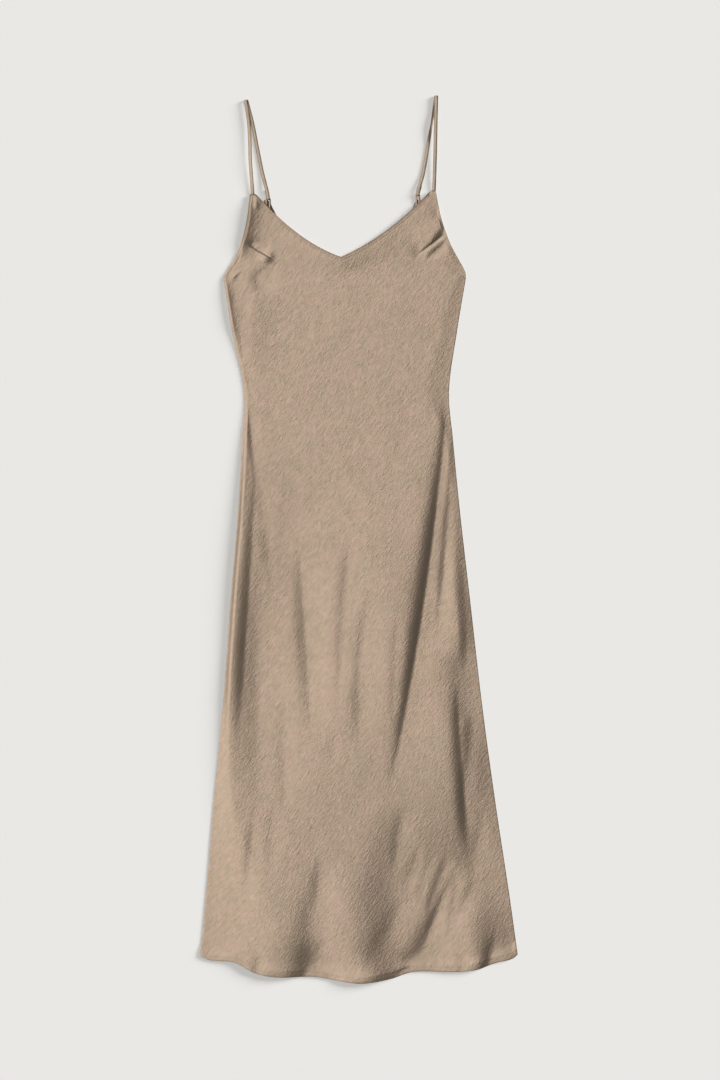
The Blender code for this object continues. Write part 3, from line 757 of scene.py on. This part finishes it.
def even_spots(points, pitch):
    """Shares at even distances along a run of points."""
    steps = np.linalg.norm(np.diff(points, axis=0), axis=1)
    run = np.concatenate(([0.0], np.cumsum(steps)))
    count = int(run[-1] / pitch)
    return np.interp((np.arange(count) + 0.5) * run[-1] / count, run, np.linspace(0.0, 1.0, len(run)))


def sew_edge(shape, edge, surface, depth, height):
    """A row of stitches at a depth inside an edge."""
    line, *_ = edge_places(surface, edge, np.linspace(0.0, 1.0, SEAM_PROBES), depth)
    place, way, off, _ = edge_places(surface, edge, even_spots(line, STITCH_PITCH), depth)
    for middle, ahead, up in zip(place, way, off):
        add_stitch(shape, middle + up * height, ahead, up)


def make_stitches(thread):
    shape = bmesh.new()
    on_wrap = CLOTH + STITCH_BED + WRAP_WALL + STITCH_STAND
    for edge in FRONT_EDGES:
        sew_edge(shape, edge, front_underside, STITCH_DEPTH, on_wrap)
    sew_edge(shape, HEM_SEAM, front_underside, HEM_STITCH_DEPTH - EDGE_TRIM, CLOTH + STITCH_STAND)
    return keep_piece("stitching", shape, thread, "binding")


def between(a, b, c, d, t):
    """A share t of the way from b to c, on a smooth curve through all four."""
    bend = (2 * a - 5 * b + 4 * c - d) * t**2
    twist = (3 * b - a - 3 * c + d) * t**3
    return 0.5 * (2 * b + (c - a) * t + bend + twist)


def smooth_run(points, step):
    """Stations at even steps on a smooth curve through the given ones."""
    values = [Vector((p.x, p.y, p.z, p.turn)) for p in points]
    values = [values[0] * 2 - values[1], *values, values[-1] * 2 - values[-2]]
    run = []
    for a, b, c, d in zip(values, values[1:], values[2:], values[3:]):
        pieces = max(round((c - b).xyz.length / step), 1)
        run.extend(between(a, b, c, d, piece / pieces) for piece in range(pieces))
    return [*run, values[-2]]


def fold_over(top, under):
    """Stations round the fold at the top of a strap."""
    radius = (top.z - under.z) / 2
    bends = []
    for step in range(1, FOLD_STEPS):
        angle = math.pi * step / FOLD_STEPS
        middle = top.lerp(under, step / FOLD_STEPS)
        middle.z = (top.z + under.z) / 2 + radius * math.cos(angle)
        middle.y = (top.y + under.y) / 2 + radius * math.sin(angle)
        bends.append(middle)
    return bends


def round_loop(loop, lean):
    """Stations of a strap's end: over the loop's bow, down inside it and back up behind the strap."""
    bow_y = loop.bow_y + loop.half_gap
    radius = LOOP_ROD + STRAP_THIN + GAP
    bends = []
    for step in range(WRAP_STEPS + 1):
        angle = math.pi * (0.5 + step / WRAP_STEPS)
        y = bow_y + radius * math.cos(angle)
        z = LOOP_BOW_LEVEL + radius * math.sin(angle)
        bends.append(Vector((loop.bow_x, y, z, 0.0)))
    onward = Vector((lean * TAIL / TAIL_STEPS, TAIL / TAIL_STEPS, TAIL_RISE, 0.0))
    for _ in range(TAIL_STEPS):
        bends.append(bends[-1] + onward)
    return bends


def strap_route(front, back, loop):
    up = smooth_run(front, STRAP_STEP)
    down = smooth_run(back, STRAP_STEP)
    last = down[-2] - down[-1]
    return frames([*up, *fold_over(up[-1], down[0]), *down, *round_loop(loop, last.x / last.y)])


def neighbours(points, i):
    """The points before and after one of a run."""
    return points[max(i - 1, 0)], points[min(i + 1, len(points) - 1)]


def frames(middles):
    """(middle, direction across its flat, direction off it, share of its width) all along a strap."""
    route = []
    for i, here in enumerate(middles):
        before, after = neighbours(middles, i)
        ahead = (after - before).xyz.normalized()
        flat = Vector((1.0, 0.0, 0.0))
        flat = (flat - ahead * flat.dot(ahead)).normalized()
        edge = ahead.cross(flat)
        turn = math.radians(here[3])
        turned = flat * math.cos(turn) + edge * math.sin(turn)
        from_end = (len(middles) - 1 - i) / NARROW_STEPS
        narrow = 1.0 - (1.0 - END_NARROW) * (1.0 - float(smooth_step(from_end - 1.0)))
        route.append((here.xyz, turned, ahead.cross(turned), narrow))
    return route


def sweep(name, route, section, material, node):
    """A closed tube: the section's points, carried along the route, whose width narrows as it says."""
    sides = len(section)
    shape = share_grid(range(sides + 1), range(len(route)))
    widest = max(wide for wide, high in section)
    wides = [abs(section[round(vertex.co.x) % sides][0]) for vertex in shape.verts]
    # The outer parts of the width get painted shade.
    paint_rim_shade(shape, [wide / widest > RIM_WIDE for wide in wides])
    for vertex in shape.verts:
        wide, high = section[round(vertex.co.x) % sides]
        middle, flat, edge, narrow = route[round(vertex.co.y)]
        vertex.co = (middle + flat * wide * narrow + edge * high) * MM
    bmesh.ops.remove_doubles(shape, verts=shape.verts, dist=WELD * MM)
    bmesh.ops.holes_fill(shape, edges=shape.edges, sides=0)
    bmesh.ops.recalc_face_normals(shape, faces=shape.faces)
    return keep_piece(name, shape, material, "strap", node)


def rounded(half_wide, half_high, sides, square):
    """Points of an oval section; a higher power is nearer to a rectangle."""
    points = []
    for side in range(sides):
        angle = 2.0 * math.pi * side / sides
        cos, sin = math.cos(angle), math.sin(angle)
        wide = math.copysign(abs(cos) ** (2.0 / square), cos)
        high = math.copysign(abs(sin) ** (2.0 / square), sin)
        points.append((half_wide * wide, half_high * high))
    return points


def loop_route(loop):
    """Up one leg, over the bow and down the other leg, as frames gives it for a strap."""
    middles = []
    for step in range(LOOP_LEG_STEPS):
        share = step / LOOP_LEG_STEPS
        x = loop.foot_x + (loop.bow_x - loop.foot_x) * share - loop.half_gap
        y = loop.foot_y + (loop.bow_y - loop.foot_y) * share
        z = LOOP_FOOT_LEVEL + (LOOP_BOW_LEVEL - LOOP_FOOT_LEVEL) * share
        middles.append((x, y, z))
    for turn in range(LOOP_TURNS + 1):
        angle = math.pi * (1.0 - turn / LOOP_TURNS)
        x = loop.bow_x + loop.half_gap * math.cos(angle)
        y = loop.bow_y + loop.half_gap * math.sin(angle)
        middles.append((x, y, LOOP_BOW_LEVEL))
    for x, y, z in reversed(middles[:LOOP_LEG_STEPS]):
        middles.append((x + 2.0 * loop.half_gap, y, z))
    route = []
    for i, here in enumerate(middles):
        before, after = neighbours(middles, i)
        ahead = (Vector(after) - Vector(before)).normalized()
        flat = ahead.cross(Vector((0.0, 0.0, 1.0))).normalized()
        route.append((Vector(here), flat, ahead.cross(flat), 1.0))
    return route


# ---------------------------------------------------------------- finishes


def drive(tree, source, span):
    """A value carried over from one range to another."""
    node = tree.nodes.new("ShaderNodeMapRange")
    node.inputs["From Min"].default_value = span.low
    node.inputs["From Max"].default_value = span.high
    node.inputs["To Min"].default_value = span.to_low
    node.inputs["To Max"].default_value = span.to_high
    tree.links.new(source, node.inputs["Value"])
    return node.outputs["Result"]


def work_out(tree, operation, *terms):
    """A piece of arithmetic whose terms are other values or plain numbers."""
    node = tree.nodes.new("ShaderNodeMath")
    node.operation = operation
    for entry, term in zip(node.inputs, terms):
        if isinstance(term, float):
            entry.default_value = term
        else:
            tree.links.new(term, entry)
    return node.outputs["Value"]


def cloud(tree, position, scale, detail, waver=0.0):
    """Soft noise from 0 to 1."""
    texture = tree.nodes.new("ShaderNodeTexNoise")
    texture.inputs["Scale"].default_value = scale
    texture.inputs["Detail"].default_value = detail
    texture.inputs["Distortion"].default_value = waver
    tree.links.new(position, texture.inputs["Vector"])
    return texture.outputs["Fac"]


def streaks(tree, position, grain, size, detail):
    """Noise drawn out along the grain."""
    mapping = tree.nodes.new("ShaderNodeMapping")
    mapping.vector_type = "TEXTURE"
    mapping.inputs["Scale"].default_value = size
    tree.links.new(position, mapping.inputs["Vector"])
    tree.links.new(grain, mapping.inputs["Rotation"])
    return cloud(tree, mapping.outputs["Vector"], 1.0, detail, STREAK_WAVER)


def make_slub_group():
    """Warm and cool patches, streaks of thicker yarn along the grain, the weave's relief and painted rim
    shade.
    """
    group = bpy.data.node_groups.new("slub_satin", "ShaderNodeTree")
    sockets = group.interface
    sockets.new_socket("Warm", in_out="INPUT", socket_type="NodeSocketColor")
    sockets.new_socket("Cool", in_out="INPUT", socket_type="NodeSocketColor")
    sockets.new_socket("Grain", in_out="INPUT", socket_type="NodeSocketVector")
    sockets.new_socket("Color", in_out="OUTPUT", socket_type="NodeSocketColor")
    sockets.new_socket("Roughness", in_out="OUTPUT", socket_type="NodeSocketFloat")
    sockets.new_socket("Height", in_out="OUTPUT", socket_type="NodeSocketFloat")
    nodes, links = group.nodes, group.links
    given, result = nodes.new("NodeGroupInput"), nodes.new("NodeGroupOutput")
    position = nodes.new("ShaderNodeTexCoord").outputs["Object"]

    mottle = cloud(group, position, MOTTLE_PER_METRE, MOTTLE_DETAIL)
    blend = nodes.new("ShaderNodeMixRGB")
    links.new(drive(group, mottle, MOTTLE_BLEND), blend.inputs["Fac"])
    links.new(given.outputs["Warm"], blend.inputs["Color1"])
    links.new(given.outputs["Cool"], blend.inputs["Color2"])

    slub = streaks(group, position, given.outputs["Grain"], STREAK_SIZE, STREAK_DETAIL)
    strength = drive(group, cloud(group, position, PATCHES_PER_METRE, PATCH_DETAIL), PATCH_STRENGTH)
    centred = work_out(group, "SUBTRACT", slub, NOISE_MIDDLE)
    slub = work_out(group, "MULTIPLY_ADD", centred, strength, NOISE_MIDDLE)
    links.new(drive(group, slub, STREAK_ROUGHNESS), result.inputs["Roughness"])

    # Painted shade: the colour is darkened where the rim mark is set.
    rim = nodes.new("ShaderNodeAttribute")
    rim.attribute_name = RIM
    shade = drive(group, rim.outputs["Fac"], RIM_PAINTED_SHADE)
    toned_and_shaded = nodes.new("ShaderNodeVectorMath")
    toned_and_shaded.operation = "SCALE"
    links.new(blend.outputs["Color"], toned_and_shaded.inputs[0])
    links.new(work_out(group, "MULTIPLY", drive(group, slub, STREAK_TONE), shade), toned_and_shaded.inputs["Scale"])
    links.new(toned_and_shaded.outputs["Vector"], result.inputs["Color"])

    weave = streaks(group, position, given.outputs["Grain"], WEAVE_SIZE, WEAVE_DETAIL)
    links.new(work_out(group, "MULTIPLY_ADD", weave, WEAVE_SHARE, slub), result.inputs["Height"])
    return group


def make_satin(look, slub):
    material = bpy.data.materials.new(look.name)
    material.use_nodes = True
    nodes, links = material.node_tree.nodes, material.node_tree.links
    shader = nodes["Principled BSDF"]
    shader.inputs["Metallic"].default_value = look.metallic
    shader.inputs["Sheen Weight"].default_value = SHEEN
    shader.inputs["Sheen Roughness"].default_value = SHEEN_ROUGHNESS
    weave = nodes.new("ShaderNodeGroup")
    weave.node_tree = slub
    weave.inputs["Warm"].default_value = look.warm
    weave.inputs["Cool"].default_value = look.cool
    weave.inputs["Grain"].default_value = (0.0, 0.0, math.radians(look.grain))
    bump = nodes.new("ShaderNodeBump")
    bump.inputs["Distance"].default_value = RELIEF
    bump.inputs["Strength"].default_value = 1.0
    links.new(weave.outputs["Height"], bump.inputs["Height"])
    links.new(weave.outputs["Color"], shader.inputs["Base Color"])
    links.new(weave.outputs["Roughness"], shader.inputs["Roughness"])
    links.new(bump.outputs["Normal"], shader.inputs["Normal"])
    return material


def make_plain_finish(name, colour, roughness):
    material = bpy.data.materials.new(name)
    material.use_nodes = True
    shader = material.node_tree.nodes["Principled BSDF"]
    shader.inputs["Base Color"].default_value = colour
    shader.inputs["Roughness"].default_value = roughness
    shader.inputs["Specular IOR Level"].default_value = PLAIN_GLOSS
    return material


# ---------------------------------------------------------------- studio

FRAME_TALL = 1.62  # metres of the surface along the frame's long side
FRAME_MIDDLE = (0.0015, -0.00075)
CAMERA_HEIGHT = 6.0
CAMERA_SENSOR = 36.0
CAMERA_REACH = 100.0
FLOOR_HALF = 6.0  # half of its side
FLOOR_COLOUR = (0.80, 0.79, 0.765, 1.0)
FLOOR_ROUGHNESS = 0.9
AMBIENT = 0.10
WHITE = (1.0, 1.0, 1.0, 1.0)

# Far lights: the side each comes from, its strength, its spread in degrees and whether it casts shadows.
Sun = namedtuple("Sun", "name side energy spread shades")
CLOTH_LIGHT = Sun("cloth_light", (-0.71, 0.28, 0.66), 2.88, 116.0, True)
FLOOR_LIGHT = Sun("floor_light", (2.1, 0.9, 0.80), 3.6, 22.0, True)
FLOOR_FILL = Sun("floor_fill", (0.0, 0.0, 1.0), 1.69, 1.0, False)


def make_camera():
    camera = bpy.data.cameras.new("camera")
    camera.sensor_width = CAMERA_SENSOR
    camera.lens = CAMERA_SENSOR * CAMERA_HEIGHT / FRAME_TALL
    camera.clip_end = CAMERA_REACH
    holder = bpy.data.objects.new("camera", camera)
    holder.location = (*FRAME_MIDDLE, CAMERA_HEIGHT)
    bpy.context.scene.collection.objects.link(holder)
    bpy.context.scene.camera = holder


def make_sun(sun, receivers):
    """A far light that falls on its own receivers only."""
    light = bpy.data.lights.new(sun.name, "SUN")
    light.angle = math.radians(sun.spread)
    light.energy = sun.energy
    light.use_shadow = sun.shades
    holder = bpy.data.objects.new(sun.name, light)
    holder.location = sun.side
    holder.rotation_euler = Vector(sun.side).to_track_quat("Z", "Y").to_euler()
    bpy.context.scene.collection.objects.link(holder)
    lit = bpy.data.collections.new(sun.name)
    for thing in receivers:
        lit.objects.link(thing)
    holder.light_linking.receiver_collection = lit


def make_world():
    world = bpy.data.worlds.new("studio")
    world.use_nodes = True
    background = world.node_tree.nodes["Background"]
    background.inputs["Color"].default_value = WHITE
    background.inputs["Strength"].default_value = AMBIENT
    bpy.context.scene.world = world
    bpy.context.scene.view_settings.view_transform = "Standard"


def make_floor():
    shape = bmesh.new()
    bmesh.ops.create_grid(shape, x_segments=1, y_segments=1, size=FLOOR_HALF)
    mesh = bpy.data.meshes.new("floor")
    shape.to_mesh(mesh)
    shape.free()
    mesh.materials.append(make_plain_finish("pale_floor", FLOOR_COLOUR, FLOOR_ROUGHNESS))
    floor = bpy.data.objects.new("floor", mesh)
    bpy.context.scene.collection.objects.link(floor)
    return floor


def main():
    slub = make_slub_group()
    satin = make_satin(FACE, slub)
    shaded_reverse = make_satin(SHADED_REVERSE, slub)
    bias = make_satin(BIAS, slub)
    turned = make_satin(TURNED, slub)
    thread = make_plain_finish("thread", THREAD, THREAD_ROUGHNESS)

    front = make_front_panel(satin)
    back = make_back_panel(shaded_reverse)
    wraps = [wrap_edge(edge, front_underside, bias) for edge in FRONT_EDGES]
    back_wrap = wrap_edge(BACK_EDGE, back_underside, bias, with_under=False)
    stitches = make_stitches(thread)

    flat = rounded(STRAP_HALF, STRAP_THIN, STRAP_SIDES, STRAP_SQUARE)
    rod = rounded(LOOP_FLAT, LOOP_ROD, LOOP_SIDES, LOOP_SQUARE)
    left_way = strap_route(LEFT_STRAP_FRONT, LEFT_STRAP_BACK, LEFT_LOOP)
    right_way = strap_route(RIGHT_STRAP_FRONT, RIGHT_STRAP_BACK, RIGHT_LOOP)
    straps = [
        sweep("left_strap", left_way, flat, turned, "strap_left"),
        sweep("right_strap", right_way, flat, turned, "strap_right"),
        sweep("left_loop", loop_route(LEFT_LOOP), rod, turned, "strap_loop_left"),
        sweep("right_loop", loop_route(RIGHT_LOOP), rod, turned, "strap_loop_right"),
    ]

    floor = make_floor()
    dress = [front, back, back_wrap, stitches, *wraps, *straps]
    make_sun(CLOTH_LIGHT, dress)
    make_sun(FLOOR_LIGHT, [floor])
    make_sun(FLOOR_FILL, [floor])
    make_world()
    make_camera()


main()
